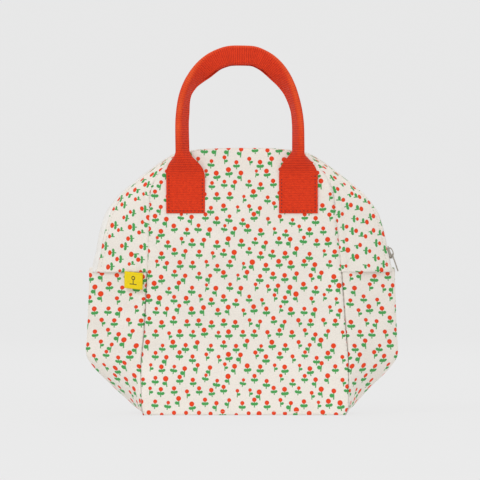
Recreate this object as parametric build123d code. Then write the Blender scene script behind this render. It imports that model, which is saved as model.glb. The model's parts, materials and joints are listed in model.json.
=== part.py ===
"""Zipped canvas lunch bag: base, leaning lower walls, two hinged upper halves, zipper and webbing handles.

Frame: origin at the middle of the base's underside, +Z up, +X along the zipper towards the pull, front is -Y.
Units are millimetres. Each piece is written to parts/NODE.step.
"""

from build123d import *
import math
import os

# Overall form of the bag
BASE_HALF_W = 100.0  # half the base panel's length
BASE_HALF_D = 65.0  # half the base panel's depth, and half the side gusset's cut width
BASE_BOW = 1.5  # how far the base's short edges bow out
WAIST_Z = 64.0  # height at which the side gussets stand out furthest
WAIST_HALF_W = 156.0
WAIST_PANEL_HALF_W = 99.0
WAIST_HALF_D = 38.0
CREASE_Z = 145.0  # the side seam, where the upper halves fold open
CREASE_PANEL_HALF_W = 98.0
TOP_HALF_D = 33.0  # half depth from the crease up to the top
CLEARANCE = 0.3  # left on each side of a gap between two moving bodies

# Cloth
CANVAS_T = 1.5
LINING_T = 0.7
SEAM_X = 97.0  # the front and back panels' side seams

# Front panel's upper outline
SHOULDER = (93.0, 212.0)
CORNER_MID = (84.0, 236.0)
CORNER_END = (63.0, 255.0)
PANEL_TOP_Z = 265.0

# Zipper arch: the chain follows one circle, so the slider can turn about its centre
ARCH_Z = 110.5
ARCH_R = 155.0
BAND_HALF_W = 8.0  # half the width left between the two facings' folded edges
TAPE_T = 0.8
TAPE_TOP = 0.6  # depth of the tape's face below the arch
TEETH_T = 1.2
TEETH_TOP = 0.4
TEETH_OUTER_Y = 2.9
TEETH_INNER_Y = 1.3

# Slider and pull
SLIDER_AT_DEG = 18.7  # where the closed slider sits on the arch
SLIDER_LENGTH = 13.0
SLIDER_HALF_W = 4.0
PLATE_T = 1.1
PLATE_GAP = 1.75  # from the mid line of the chain to each plate's inner face
POST_HALF_W = 0.9
POST_LENGTH = 3.0
CROWN_LENGTH = 10.0
CROWN_HALF_W = 1.2
CROWN_H = 2.9
CROWN_EYE_H = 1.9
CROWN_EYE_HALF = 3.6
PULL_PIVOT_BACK = 2.4  # from the slider's middle to the pull's cross bar
PULL_LEVEL = 0.95  # height of the cross bar over the slider's top plate
PULL_BAR_R = 0.6
PULL_HALF_W = 3.4
PULL_WINDOW = 8.4
PULL_LENGTH = 18.0
PULL_T = 1.2
PULL_ARM_W = 1.5
PULL_HOLE_R = 1.6

# Handles: 38 mm webbing, folded along the grip
WEBBING_W = 38.5
HANDLE_X = 56.0  # middle of each sewn end
SEWN_TOP_Z = 240.5
SEWN_H = 41.0
SEWN_T = 1.6
HANDLE_T = 4.0
HANDLE_BOTTOM_Z = 241.0
FLARE_TOP_Z = 258.0
GRIP_OUTER_R = 64.5
GRIP_OUTER_Z = 301.5
GRIP_INNER_R = 52.0
GRIP_INNER_Z = 294.0

# Label sewn into the left side seam, and the inner slip pocket
LABEL_W = 20.0
LABEL_H = 16.5
LABEL_T = 1.0
LABEL_TOP_Z = 142.5
LABEL_FROM_CORNER = 1.5
LABEL_OFF = 1.5  # the wall below the seam stands out a little further than the seam
POCKET_HALF_W = 75.0
POCKET_BOTTOM_Z = 68.0
POCKET_TOP_Z = 140.0
POCKET_DEPTH = 9.0
POCKET_T = 1.0

BIG = 400.0  # longer than the bag in every direction


def crossing(a, d, b, e):
    """Where the line through a along d meets the line through b along e, or b if they are parallel."""
    turn = d[0] * e[1] - d[1] * e[0]
    if abs(turn) < 1e-9:
        return b
    t = ((b[0] - a[0]) * e[1] - (b[1] - a[1]) * e[0]) / turn
    return (a[0] + t * d[0], a[1] + t * d[1])


def inset_polygon(points, inset):
    """A convex anticlockwise polygon with every side moved in by inset."""
    moved = []
    for i, here in enumerate(points):
        before = points[i - 1]
        after = points[(i + 1) % len(points)]
        sides = []
        for p, q in ((before, here), (here, after)):
            length = math.dist(p, q)
            along = ((q[0] - p[0]) / length, (q[1] - p[1]) / length)
            sides.append(((here[0] - along[1] * inset, here[1] + along[0] * inset), along))
        (a, d), (b, e) = sides
        moved.append(crossing(a, d, b, e))
    return moved


def wall_section(z, half_w, half_d, half_out, inset):
    """The lower bag's outline at one height: straight front and back, and sides that come to a blunt fold."""
    right = [(half_w, -half_d), (half_out, -BAND_HALF_W), (half_out, BAND_HALF_W), (half_w, half_d)]
    left = [(-x, -y) for x, y in right]
    return Plane.XY.offset(z) * make_face(Polyline(*inset_polygon(right + left, inset), close=True))


def lower_form(inset):
    """The solid shape of the bag below the crease, with its walls moved in by inset."""
    top_z = CREASE_Z - CLEARANCE
    sections = [
        wall_section(0, BASE_HALF_W, BASE_HALF_D, BASE_HALF_W + BASE_BOW, inset),
        wall_section(WAIST_Z, WAIST_PANEL_HALF_W, WAIST_HALF_D, WAIST_HALF_W, inset),
        wall_section(top_z, CREASE_PANEL_HALF_W, TOP_HALF_D, arch_half_width(), inset),
    ]
    return loft(sections, ruled=True)


def arch_half_width():
    """Half the width of the zipper arch at the crease."""
    return math.sqrt(ARCH_R**2 - (CREASE_Z - ARCH_Z) ** 2)


def span(low, high):
    """A box between two corners."""
    size = [b - a for a, b in zip(low, high)]
    middle = [(a + b) / 2 for a, b in zip(low, high)]
    return Pos(*middle) * Box(*size)


def above(z):
    return span((-BIG, -BIG, z), (BIG, BIG, BIG))


def layers():
    """The lower walls' two layers: each is its floor and its standing walls, from outside in."""
    outer = lower_form(0)
    middle = lower_form(CANVAS_T)
    inner = lower_form(CANVAS_T + LINING_T)
    floor_top = CANVAS_T + LINING_T
    base = outer - above(CANVAS_T)
    walls = (outer - middle) & above(CANVAS_T)
    base_lining = (middle & above(CANVAS_T)) - above(floor_top)
    lining = (middle - inner) & above(floor_top)
    return base, walls, base_lining, lining


def lower_pieces():
    base, walls, base_lining, lining = layers()
    front = span((-SEAM_X, -BIG, -BIG), (SEAM_X, 0, BIG))
    back = span((-SEAM_X, 0, -BIG), (SEAM_X, BIG, BIG))
    right = span((SEAM_X, -BIG, -BIG), (BIG, BIG, BIG))
    left = span((-BIG, -BIG, -BIG), (-SEAM_X, BIG, BIG))
    return {
        "base_panel": base,
        "base_lining": base_lining,
        "front_panel_lower": walls & front,
        "back_panel_lower": walls & back,
        "left_side_panel": walls & left,
        "right_side_panel": walls & right,
        "front_lining_lower": lining & front,
        "back_lining_lower": lining & back,
        "left_side_lining": lining & left,
        "right_side_lining": lining & right,
    }


def snack_pocket():
    """Slip pocket on the back lining: a shallow tray, open at the top, that the lining closes behind."""
    face = CANVAS_T + LINING_T
    zone = span((-POCKET_HALF_W, 0, POCKET_BOTTOM_Z), (POCKET_HALF_W, BIG, POCKET_TOP_Z))
    hollow = span(
        (-POCKET_HALF_W + POCKET_T, 0, POCKET_BOTTOM_Z + POCKET_T), (POCKET_HALF_W - POCKET_T, BIG, BIG)
    )
    tray = (lower_form(face) - lower_form(face + POCKET_DEPTH)) & zone
    room = (lower_form(face) - lower_form(face + POCKET_DEPTH - POCKET_T)) & hollow
    return tray - room


def step_in(point, inset, degrees):
    """A point of an outline moved in against its normal, which stands at this angle from +X."""
    turn = math.radians(degrees)
    return (point[0] - inset * math.cos(turn), point[1] - inset * math.sin(turn))


def flip(point):
    return (-point[0], point[1])


def panel_outline(inset):
    """The front panel above the crease, moved in by inset, drawn in X and Z."""
    z0 = CREASE_Z + CLEARANCE
    mid_in = step_in(CORNER_MID, inset, 40)
    end_in = step_in(CORNER_END, inset, 65)
    side = (SHOULDER[0] - inset, SHOULDER[1])
    foot = (CREASE_PANEL_HALF_W - inset, z0)
    edges = [
        Line(flip(foot), foot),
        Line(foot, side),
        ThreePointArc(side, mid_in, end_in),
        ThreePointArc(end_in, (0, PANEL_TOP_Z - inset), flip(end_in)),
        ThreePointArc(flip(end_in), flip(mid_in), flip(side)),
        Line(flip(side), flip(foot)),
    ]
    return make_face(edges)


def arch_point(radius, degrees):
    turn = math.radians(degrees)
    return (radius * math.cos(turn), ARCH_Z + radius * math.sin(turn))


def arch_foot(radius):
    """The angle at which a circle about the arch's centre meets the crease, from +X."""
    return math.degrees(math.asin((CREASE_Z + CLEARANCE - ARCH_Z) / radius))


def arch_arc(radius, start, end):
    """Part of the arch's circle, drawn in X and Z."""
    middle = (start + end) / 2
    return ThreePointArc(arch_point(radius, start), arch_point(radius, middle), arch_point(radius, end))


def arch_outline(inset):
    """The arch above the crease, cut into the same six edges as the panel's outline."""
    radius = ARCH_R - inset
    foot = arch_foot(radius)
    stops = [foot, 38, 63, 117, 142, 180 - foot]
    edges = [Line(arch_point(radius, 180 - foot), arch_point(radius, foot))]
    for start, end in zip(stops, stops[1:]):
        edges.append(arch_arc(radius, start, end))
    return make_face(edges)


def at_y(y, face):
    """A face drawn in X and Z, stood up at this Y."""
    return Plane.XZ.offset(-y) * face


def slab(face, y_low, y_high):
    """A face drawn in X and Z, thickened from y_low to y_high."""
    return extrude(at_y(y_high, face), amount=y_high - y_low)


def upper_form(inset):
    """Front half of the bag above the crease: from the panel's outline out to the arch."""
    panel = at_y(-TOP_HALF_D, panel_outline(inset))
    arch = at_y(-BAND_HALF_W, arch_outline(inset))
    return loft([panel, arch], ruled=True)


def arch_band(r_low, r_high, y_low, y_high, start, end):
    """A strip that follows the arch."""
    edges = [
        arch_arc(r_high, start, end),
        Line(arch_point(r_high, end), arch_point(r_low, end)),
        arch_arc(r_low, end, start),
        Line(arch_point(r_low, start), arch_point(r_high, start)),
    ]
    return slab(make_face(edges), y_low, y_high)


def upper_pieces():
    """The front half's cloth and zipper side. The back half is its mirror image."""
    shell = upper_form(0)
    inside = upper_form(CANVAS_T)
    core = upper_form(CANVAS_T + LINING_T)
    panel_back = -TOP_HALF_D + CANVAS_T
    lining_back = panel_back + LINING_T
    skin = span((-BIG, -BIG, -BIG), (BIG, panel_back, BIG))
    lined = span((-BIG, -BIG, -BIG), (BIG, lining_back, BIG))
    foot = arch_foot(ARCH_R - TAPE_TOP - TAPE_T)
    tape = (ARCH_R - TAPE_TOP - TAPE_T, ARCH_R - TAPE_TOP)
    teeth = (ARCH_R - TEETH_TOP - TEETH_T, ARCH_R - TEETH_TOP)
    teeth_y = (-TEETH_OUTER_Y, -TEETH_INNER_Y)
    return {
        "panel_upper": shell & skin,
        "zip_facing": shell - inside - skin,
        "lining_upper": (inside & lined) - skin,
        "facing_lining": inside - core - lined,
        "zip_tape": arch_band(*tape, -BAND_HALF_W, -TEETH_OUTER_Y, foot, 180 - foot),
        "zip_teeth": arch_band(*teeth, *teeth_y, foot, 180 - foot),
    }


def on_arch(piece, degrees):
    """Turns a piece made at the arch's right end, pointing up, to its place on the arch."""
    centre = Pos(0, 0, ARCH_Z)
    return centre * Rot(0, -degrees, 0) * piece


def chain_block(r_low, r_high, y_low, y_high, t_low, t_high):
    """A box in arch terms: distance from the arch's line, across the chain, and along it."""
    return span((ARCH_R - 1.0 + r_low, y_low, t_low), (ARCH_R - 1.0 + r_high, y_high, t_high))


def zip_slider():
    """Two plates joined by a post between the two rows of teeth, and a crown for the pull."""
    half = SLIDER_LENGTH / 2
    w = SLIDER_HALF_W
    top = PLATE_GAP + PLATE_T
    body = chain_block(PLATE_GAP, top, -w, w, -half, half)
    body += chain_block(-top, -PLATE_GAP, -w, w, -half, half)
    body += chain_block(-PLATE_GAP, PLATE_GAP, -POST_HALF_W, POST_HALF_W, -half, -half + POST_LENGTH)
    crown = chain_block(top, top + CROWN_H, -CROWN_HALF_W, CROWN_HALF_W, -CROWN_LENGTH / 2, CROWN_LENGTH / 2)
    crown -= chain_block(top, top + CROWN_EYE_H, -w, w, -CROWN_EYE_HALF, CROWN_EYE_HALF)
    return on_arch(body + crown, SLIDER_AT_DEG)


def zip_pull():
    """Flat pull with a long window that swings over the crown, and a small hole in its tip."""
    level = PLATE_GAP + PLATE_T + PULL_LEVEL
    flat = (level - PULL_T / 2, level + PULL_T / 2)
    top = -PULL_PIVOT_BACK
    w = PULL_HALF_W
    plate = chain_block(*flat, -w, w, top - PULL_LENGTH, top + PULL_BAR_R)
    plate = fillet(plate.edges().filter_by(Axis.X), 0.5)
    inner = w - PULL_ARM_W
    plate -= chain_block(level - 5, level + 5, -inner, inner, top - PULL_WINDOW, top - PULL_BAR_R)
    hole_z = top - PULL_LENGTH + 4.0
    hole = Pos(ARCH_R - 1.0 + level, 0, hole_z) * Rot(0, 90, 0) * Cylinder(PULL_HOLE_R, 5)
    return on_arch(plate - hole, SLIDER_AT_DEG)


def handle_loop():
    """The front handle above its sewn ends: a narrow grip whose legs widen to the full webbing."""
    outer = Pos(0, GRIP_OUTER_Z) * Circle(GRIP_OUTER_R)
    legs = Rectangle(2 * GRIP_OUTER_R, GRIP_OUTER_Z - FLARE_TOP_Z)
    outer += Pos(0, (FLARE_TOP_Z + GRIP_OUTER_Z) / 2) * legs
    inner = Pos(0, GRIP_INNER_Z) * Circle(GRIP_INNER_R)
    inner += Pos(0, GRIP_INNER_Z / 2) * Rectangle(2 * GRIP_INNER_R, GRIP_INNER_Z)
    low = Pos(0, FLARE_TOP_Z / 2) * Rectangle(BIG, FLARE_TOP_Z)
    loop = outer - low - inner
    for side in (-1, 1):
        foot_in = (side * (HANDLE_X - WEBBING_W / 2), HANDLE_BOTTOM_Z)
        foot_out = (side * (HANDLE_X + WEBBING_W / 2), HANDLE_BOTTOM_Z)
        neck = [(side * GRIP_OUTER_R, FLARE_TOP_Z), (side * GRIP_INNER_R, FLARE_TOP_Z)]
        loop += make_face(Polyline(foot_in, foot_out, *neck, close=True))
    y_high = -TOP_HALF_D - CLEARANCE
    return slab(loop, y_high - HANDLE_T, y_high)


def sewn_end(side):
    """One end of the front handle's webbing, stitched flat to the panel."""
    x = side * HANDLE_X
    low = (x - WEBBING_W / 2, -TOP_HALF_D - SEWN_T, SEWN_TOP_Z - SEWN_H)
    high = (x + WEBBING_W / 2, -TOP_HALF_D, SEWN_TOP_Z)
    return span(low, high)


def side_label():
    """Folded ribbon hanging over the left side panel from the side seam, beside the front panel."""
    corner = (-CREASE_PANEL_HALF_W, -TOP_HALF_D)
    fold = (-arch_half_width(), -BAND_HALF_W)
    length = math.dist(corner, fold)
    along = ((fold[0] - corner[0]) / length, (fold[1] - corner[1]) / length)
    out = (along[1], -along[0])
    if out[1] > 0:
        out = (-out[0], -out[1])
    start = LABEL_FROM_CORNER
    ends = []
    for run, off in ((start, 0), (start + LABEL_W, 0), (start + LABEL_W, LABEL_T), (start, LABEL_T)):
        gap = LABEL_OFF + off
        ends.append((corner[0] + run * along[0] + gap * out[0], corner[1] + run * along[1] + gap * out[1]))
    face = Plane.XY.offset(LABEL_TOP_Z - LABEL_H) * make_face(Polyline(*ends, close=True))
    return extrude(face, amount=LABEL_H)


def all_pieces():
    """Every piece of the bag by name."""
    pieces = lower_pieces()
    pieces["snack_pocket"] = snack_pocket()
    pieces["side_label"] = side_label()
    half = upper_pieces()
    half["handle"] = handle_loop()
    half["handle_left_end"] = sewn_end(-1)
    half["handle_right_end"] = sewn_end(1)
    for name, piece in half.items():
        pieces["front_" + name] = piece
        pieces["back_" + name] = mirror(piece, about=Plane.XZ)
    pieces["zip_slider"] = zip_slider()
    pieces["zip_pull"] = zip_pull()
    return pieces


def main():
    os.makedirs("parts", exist_ok=True)
    for name, piece in all_pieces().items():
        piece.label = name
        export_step(piece, "parts/" + name + ".step")


main()
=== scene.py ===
"""Soft zipped canvas lunch bag: printed shell, lining, zip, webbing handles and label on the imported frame.

Sizes are in millimetres and become metres when a mesh is made. +Z is up, the front faces -Y, and the zip
closes towards +X.
"""

import json
import logging
import math
from dataclasses import dataclass
from enum import Enum
from typing import Any, Callable, Optional, Sequence, Union

import bmesh
import bpy
import numpy as np
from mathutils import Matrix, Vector


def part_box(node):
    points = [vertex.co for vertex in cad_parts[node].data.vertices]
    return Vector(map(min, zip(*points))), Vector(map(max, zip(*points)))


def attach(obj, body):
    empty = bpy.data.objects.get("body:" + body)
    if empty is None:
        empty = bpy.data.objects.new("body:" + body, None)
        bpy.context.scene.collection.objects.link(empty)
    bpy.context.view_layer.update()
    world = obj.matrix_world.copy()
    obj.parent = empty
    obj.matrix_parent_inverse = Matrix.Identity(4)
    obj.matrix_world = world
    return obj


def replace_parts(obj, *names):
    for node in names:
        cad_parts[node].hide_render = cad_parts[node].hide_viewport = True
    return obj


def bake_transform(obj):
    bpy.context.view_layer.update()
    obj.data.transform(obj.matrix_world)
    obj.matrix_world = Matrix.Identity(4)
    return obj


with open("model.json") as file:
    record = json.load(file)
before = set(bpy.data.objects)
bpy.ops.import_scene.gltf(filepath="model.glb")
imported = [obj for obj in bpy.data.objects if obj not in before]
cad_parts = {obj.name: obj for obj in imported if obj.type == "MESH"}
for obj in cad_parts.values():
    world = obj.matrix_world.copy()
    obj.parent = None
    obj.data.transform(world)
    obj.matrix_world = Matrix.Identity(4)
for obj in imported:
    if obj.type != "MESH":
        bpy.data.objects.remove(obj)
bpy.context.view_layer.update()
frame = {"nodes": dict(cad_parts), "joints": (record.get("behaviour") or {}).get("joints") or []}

LOG = logging.getLogger("lunch_bag")
MM = 0.001
PRINT_MAP = "print"

Array = np.ndarray
Colour = tuple[float, float, float]
Knots = tuple[tuple[float, float], ...]


class Face(Enum):
    """Which face of the bag a piece belongs to. The value is the sign of its y."""

    FRONT = -1.0
    BACK = 1.0

    @property
    def word(self) -> str:
        """The name that its CAD nodes start with."""
        return self.name.lower()

    @property
    def half(self) -> str:
        """The body of this face's upper half."""
        return f"{self.word}_half"


class Side(Enum):
    """Which end of the bag a piece belongs to. The value is the sign of its x."""

    LEFT = -1.0
    RIGHT = 1.0

    @property
    def word(self) -> str:
        """The name that its CAD nodes start with."""
        return self.name.lower()


class Repeat(Enum):
    """The small shape that is repeated along a line."""

    STITCH = "stitch"
    TOOTH = "tooth"


# ---------------------------------------------------------------- curves and grids


def ease(x: Array, low: float, high: float) -> Array:
    """Smooth step from 0 at low to 1 at high."""
    t = np.clip((np.asarray(x, float) - low) / (high - low), 0, 1)
    return t * t * (3 - 2 * t)


def through(knots: Sequence[tuple[float, float]], x: Array) -> Array:
    """A smooth curve through knots that never overshoots them.

    Args:
        knots: (x, value) pairs, x rising.
        x: where the curve is read.

    Returns:
        The curve's value at each x.
    """
    kx, ky = (np.array(c, float) for c in zip(*knots))
    h, d = np.diff(kx), np.diff(ky) / np.diff(kx)
    before, after = d[:-1], d[1:]
    both = np.where(before + after == 0, 1, before + after)
    m = np.concatenate([[d[0]], np.where(before * after > 0, 2 * before * after / both, 0), [d[-1]]])
    x = np.clip(np.asarray(x, float), kx[0], kx[-1])
    i = np.clip(np.searchsorted(kx, x, side="right") - 1, 0, len(h) - 1)
    t = (x - kx[i]) / h[i]
    return (
        (1 + 2 * t) * (1 - t) ** 2 * ky[i] + t * (1 - t) ** 2 * h[i] * m[i]
        + t * t * (3 - 2 * t) * ky[i + 1] + t * t * (t - 1) * h[i] * m[i + 1]
    )


def even(points: Array, count: int) -> Array:
    """A line's points moved to count places, evenly spaced along it.

    Args:
        points: the line.
        count: how many points it gets.

    Returns:
        The new points.
    """
    steps = np.concatenate([[0], np.cumsum(np.linalg.norm(np.diff(points, axis=0), axis=1))])
    at = np.linspace(0, steps[-1], count)
    return np.stack([np.interp(at, steps, points[:, k]) for k in range(points.shape[1])], axis=1)


def run_length(points: Array, axis: int) -> Array:
    """Distance travelled along a grid's axis, in millimetres.

    Args:
        points: the grid.
        axis: 0 to travel along its columns, 1 along its rows.

    Returns:
        The distance at each point.
    """
    step = np.linalg.norm(np.diff(points, axis=axis), axis=2)
    start = np.zeros_like(np.take(step, [0], axis=axis))
    return np.concatenate([start, np.cumsum(step, axis=axis)], axis=axis)


def crowded(count: int, share: float = 0.45) -> Array:
    """Numbers from -1 to 1 that crowd together near both ends."""
    s = np.linspace(-1, 1, count)
    return (1 - share) * s + share * np.sin(s * math.pi / 2)


def ripple(x: Array, y: Array, seed: int, longest: float, shortest: float, waves: int = 9) -> Array:
    """Soft unevenness of cloth, from -1 to 1, as a sum of long waves.

    Args:
        x: first place on the cloth, in millimetres.
        y: second place on the cloth.
        seed: picks the waves.
        longest: longest wave.
        shortest: shortest wave.
        waves: how many waves are added.

    Returns:
        The height at each place.
    """
    rng = np.random.default_rng(seed)
    x, y = np.broadcast_arrays(np.asarray(x, float), np.asarray(y, float))
    total = np.zeros(x.shape)
    for length in np.geomspace(longest, shortest, waves):
        turn, phase = rng.uniform(0, 2 * math.pi, 2)
        along = (x * math.cos(turn) + y * math.sin(turn)) * 2 * math.pi / length
        total += np.sin(along + phase) * (length / longest) ** 0.6
    return total / (0.35 * waves)


def grid_normals(points: Array) -> Array:
    """Unit normals of a grid of points, pointing to the side where its two axes' cross product points."""
    n = np.cross(np.gradient(points, axis=0), np.gradient(points, axis=1))
    return n / np.maximum(np.linalg.norm(n, axis=2, keepdims=True), 1e-9)


def dress(obj: bpy.types.Object, material: bpy.types.Material) -> bpy.types.Object:
    """Gives a piece its finish.

    Args:
        obj: the piece.
        material: the finish.

    Returns:
        The same piece.
    """
    obj.data.materials.clear()
    obj.data.materials.append(material)
    return obj


def mesh_object(
    name: str, points: Array, faces: Sequence[Sequence[int]], uv: Optional[Array] = None
) -> bpy.types.Object:
    """A smooth-shaded mesh piece at the origin.

    Args:
        name: the piece's name.
        points: its points, in millimetres.
        faces: its faces, as indices.
        uv: each point's place on the cloth, in millimetres.

    Returns:
        The new object.
    """
    mesh = bpy.data.meshes.new(name)
    mesh.from_pydata((np.asarray(points) * MM).tolist(), [], [list(map(int, f)) for f in faces])
    if uv is not None:
        layer = mesh.uv_layers.new(name=PRINT_MAP)
        corner = np.zeros(len(mesh.loops), np.int32)
        mesh.loops.foreach_get("vertex_index", corner)
        layer.data.foreach_set("uv", (np.asarray(uv) * MM)[corner].astype(np.float32).ravel())
    mesh.validate()
    mesh.polygons.foreach_set("use_smooth", [True] * len(mesh.polygons))
    mesh.update()
    obj = bpy.data.objects.new(name, mesh)
    bpy.context.scene.collection.objects.link(obj)
    return obj


def cloth(name: str, outer: Array, uv: Array, thick: float) -> bpy.types.Object:
    """A closed sheet of cloth from its outer face's grid.

    Args:
        name: the piece's name.
        outer: the grid of the outer face, rows by columns by 3.
        uv: each grid point's place on the cloth.
        thick: the cloth's thickness, laid on the side away from the grid's normals.

    Returns:
        The new object.
    """
    rows, cols = outer.shape[:2]
    inner = outer - grid_normals(outer) * thick
    points = np.concatenate([outer.reshape(-1, 3), inner.reshape(-1, 3)])
    index = np.arange(rows * cols).reshape(rows, cols)
    a, b, c, d = (q.ravel() for q in (index[:-1, :-1], index[1:, :-1], index[1:, 1:], index[:-1, 1:]))
    top = np.stack([a, b, c, d], axis=1)
    under = top[:, ::-1] + rows * cols
    edge = np.concatenate([index[0, :], index[1:, -1], index[-1, -2::-1], index[-2:0:-1, 0]])
    after = np.roll(edge, -1)
    rim = np.stack([edge, after, after + rows * cols, edge + rows * cols], axis=1)
    faces = np.concatenate([top, under, rim])
    tri = np.concatenate([faces[:, [0, 1, 2]], faces[:, [0, 2, 3]]])
    p, q, r = points[tri[:, 0]], points[tri[:, 1]], points[tri[:, 2]]
    if (p * np.cross(q, r)).sum() < 0:
        faces = faces[:, ::-1]
    flat = np.concatenate([uv.reshape(-1, 2)] * 2)
    return mesh_object(name, points, faces, flat)


# ---------------------------------------------------------------- repeated shapes


def repeat_tree(shape: Repeat, material: bpy.types.Material) -> tuple[bpy.types.NodeTree, dict[str, str]]:
    """A Geometry Nodes tree that repeats a small shape along a line of edges.

    Args:
        shape: what is repeated.
        material: the finish of every copy.

    Returns:
        The tree, and the identifier of each named input.
    """
    tree = bpy.data.node_groups.new(f"repeat_{shape.value}", "GeometryNodeTree")
    tree.interface.new_socket("Geometry", in_out="INPUT", socket_type="NodeSocketGeometry")
    tree.interface.new_socket("Geometry", in_out="OUTPUT", socket_type="NodeSocketGeometry")
    names = {}
    for label, kind in (("Spacing", "NodeSocketFloat"), ("Size", "NodeSocketVector")):
        names[label] = tree.interface.new_socket(label, in_out="INPUT", socket_type=kind).identifier
    new, link = tree.nodes.new, tree.links.new
    entry, leave = new("NodeGroupInput"), new("NodeGroupOutput")
    curve, spread = new("GeometryNodeMeshToCurve"), new("GeometryNodeResampleCurve")
    spread.mode = "LENGTH"
    link(entry.outputs["Geometry"], curve.inputs["Mesh"])
    link(curve.outputs["Curve"], spread.inputs["Curve"])
    link(entry.outputs["Spacing"], spread.inputs["Length"])
    tangent, facing = new("GeometryNodeInputTangent"), new("GeometryNodeInputNamedAttribute")
    turn = new("FunctionNodeAxesToRotation")
    facing.data_type = "FLOAT_VECTOR"
    facing.inputs["Name"].default_value = "facing"
    turn.primary_axis, turn.secondary_axis = "X", "Z"
    link(tangent.outputs["Tangent"], turn.inputs["Primary Axis"])
    link(facing.outputs["Attribute"], turn.inputs["Secondary Axis"])
    if shape is Repeat.STITCH:
        body = new("GeometryNodeMeshUVSphere")
        body.inputs["Segments"].default_value, body.inputs["Rings"].default_value = 6, 4
        body.inputs["Radius"].default_value = 0.5
        made = body.outputs["Mesh"]
    else:
        body, head = new("GeometryNodeMeshCube"), new("GeometryNodeMeshUVSphere")
        move, join = new("GeometryNodeTransform"), new("GeometryNodeJoinGeometry")
        body.inputs["Size"].default_value = (0.55, 1.0, 0.55)
        head.inputs["Segments"].default_value, head.inputs["Rings"].default_value = 8, 5
        head.inputs["Radius"].default_value = 0.5
        move.inputs["Translation"].default_value = (0.0, 0.42, 0.0)
        move.inputs["Scale"].default_value = (1.0, 0.42, 1.0)
        link(head.outputs["Mesh"], move.inputs["Geometry"])
        link(body.outputs["Mesh"], join.inputs["Geometry"])
        link(move.outputs["Geometry"], join.inputs["Geometry"])
        made = join.outputs["Geometry"]
    copies, real = new("GeometryNodeInstanceOnPoints"), new("GeometryNodeRealizeInstances")
    finish = new("GeometryNodeSetMaterial")
    finish.inputs["Material"].default_value = material
    link(spread.outputs["Curve"], copies.inputs["Points"])
    link(made, copies.inputs["Instance"])
    link(turn.outputs["Rotation"], copies.inputs["Rotation"])
    link(entry.outputs["Size"], copies.inputs["Scale"])
    link(copies.outputs["Instances"], real.inputs["Geometry"])
    link(real.outputs["Geometry"], finish.inputs["Geometry"])
    link(finish.outputs["Geometry"], leave.inputs["Geometry"])
    return tree, names


def repeat(
    name: str, shape: Repeat, lines: Sequence[tuple[Array, Array]], spacing: float,
    size: tuple[float, float, float], material: bpy.types.Material,
) -> bpy.types.Object:
    """A row of small shapes along one or more lines, as a plain mesh.

    Args:
        name: the piece's name.
        shape: what is repeated.
        lines: (points, facing) pairs, in millimetres; facing is the direction each copy's top looks.
        spacing: distance from copy to copy.
        size: each copy's size along the line, across it, and out from it.
        material: the finish.

    Returns:
        The new piece.
    """
    points = np.concatenate([p for p, _ in lines])
    facing = np.concatenate([f for _, f in lines])
    edges, start = [], 0
    for line, _ in lines:
        edges += [(start + i, start + i + 1) for i in range(len(line) - 1)]
        start += len(line)
    mesh = bpy.data.meshes.new(f"{name}_line")
    mesh.from_pydata((points * MM).tolist(), edges, [])
    mesh.attributes.new("facing", "FLOAT_VECTOR", "POINT").data.foreach_set("vector", facing.astype(np.float32).ravel())
    guide = bpy.data.objects.new(f"{name}_line", mesh)
    bpy.context.scene.collection.objects.link(guide)
    tree, names = repeat_tree(shape, material)
    modifier = guide.modifiers.new("repeat", "NODES")
    modifier.node_group = tree
    modifier[names["Spacing"]] = spacing * MM
    modifier[names["Size"]] = tuple(s * MM for s in size)
    bpy.context.view_layer.update()
    made = bpy.data.meshes.new_from_object(guide.evaluated_get(bpy.context.evaluated_depsgraph_get()))
    bpy.data.objects.remove(guide)
    made.name = name
    made.polygons.foreach_set("use_smooth", [True] * len(made.polygons))
    obj = bpy.data.objects.new(name, made)
    bpy.context.scene.collection.objects.link(obj)
    return dress(obj, material)


# ---------------------------------------------------------------- shader maths


Number = Union[float, "Value"]


class Value:
    """A number that varies over a surface. Arithmetic on it adds Math nodes."""

    def __init__(self, shader: "Shader", socket: bpy.types.NodeSocket) -> None:
        """Wraps a socket of a shader."""
        self.shader, self.socket = shader, socket

    def do(self, operation: str, *others: Number, first: Optional[Number] = None) -> "Value":
        """One Math node on this value, or on first and this value."""
        values = [self, *others] if first is None else [first, self, *others]
        return self.shader.node("ShaderNodeMath", {"operation": operation}, dict(enumerate(values))).value()

    def __add__(self, other: Number) -> "Value":
        """Sum."""
        return self.do("ADD", other)

    def __radd__(self, other: Number) -> "Value":
        """Sum."""
        return self.do("ADD", other)

    def __sub__(self, other: Number) -> "Value":
        """Difference."""
        return self.do("SUBTRACT", other)

    def __rsub__(self, other: Number) -> "Value":
        """Difference from a number."""
        return self.do("SUBTRACT", first=other)

    def __mul__(self, other: Number) -> "Value":
        """Product."""
        return self.do("MULTIPLY", other)

    def __rmul__(self, other: Number) -> "Value":
        """Product."""
        return self.do("MULTIPLY", other)

    def __truediv__(self, other: Number) -> "Value":
        """Quotient."""
        return self.do("DIVIDE", other)

    def sin(self) -> "Value":
        """Sine."""
        return self.do("SINE")

    def cos(self) -> "Value":
        """Cosine."""
        return self.do("COSINE")

    def absolute(self) -> "Value":
        """Size without sign."""
        return self.do("ABSOLUTE")

    def root(self) -> "Value":
        """Square root."""
        return self.do("SQRT")

    def most(self, other: Number) -> "Value":
        """The larger."""
        return self.do("MAXIMUM", other)

    def inside(self, edge: float, soft: float) -> "Value":
        """1 where this is under edge, 0 over it, fading across soft."""
        fade = {"Value": self, "From Min": edge - soft / 2, "From Max": edge + soft / 2, "To Min": 1.0, "To Max": 0.0}
        return self.shader.node("ShaderNodeMapRange", {}, fade).value("Result")


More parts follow.
